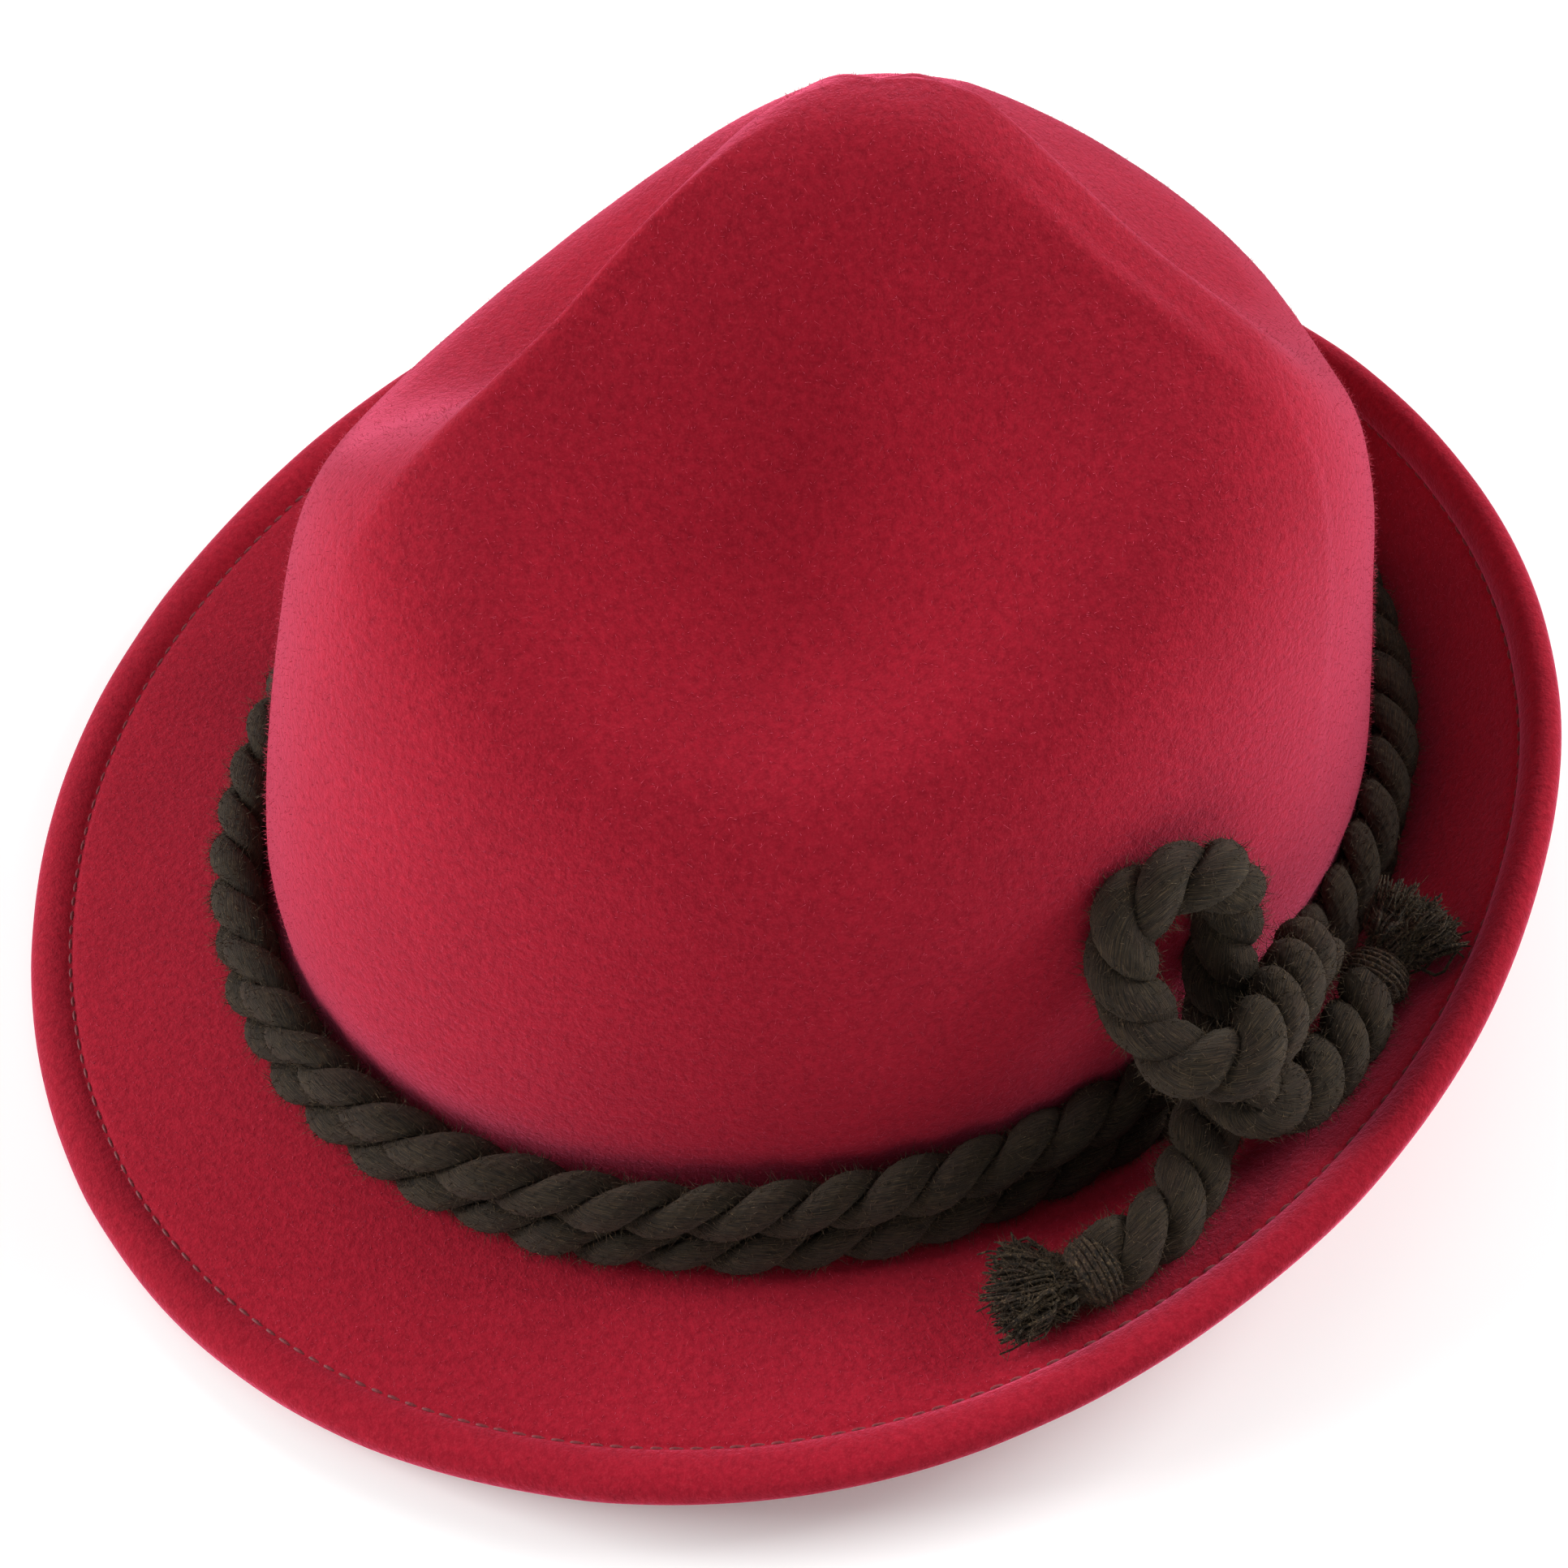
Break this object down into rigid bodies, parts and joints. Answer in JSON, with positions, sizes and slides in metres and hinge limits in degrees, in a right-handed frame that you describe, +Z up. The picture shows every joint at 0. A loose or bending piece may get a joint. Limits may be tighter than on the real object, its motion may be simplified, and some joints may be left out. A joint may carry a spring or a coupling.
{
  "type": "felt alpine hat with a three-cornered crown",
  "caption": "Felt hat with a three-cornered dented crown, a brim turned up at the sides and back, and a twisted cord band tied in a half bow.",
  "frame": {"origin": "on the surface that the hat rests on, under the middle of its outline", "axes": "+Z up, the wearer faces -Y, the wearer's left is +X"},
  "size_m": [0.2618, 0.2776, 0.1447],
  "materials": {
    "felt": "brushed wool felt with a short nap",
    "wool_cord": "two-ply twisted wool",
    "cord_binding": "wound wool yarn",
    "cord_tuft": "frayed wool yarn"
  },
  "bodies": {
    "root": {"felt_body": "felt", "band_cord_lower": "wool_cord", "band_cord_upper": "wool_cord", "bow_cord": "wool_cord", "side_tail_cord": "wool_cord", "front_tail_binding": "cord_binding", "side_tail_binding": "cord_binding", "front_tail_tuft": "cord_tuft", "side_tail_tuft": "cord_tuft"}
  },
  "joints": []
}
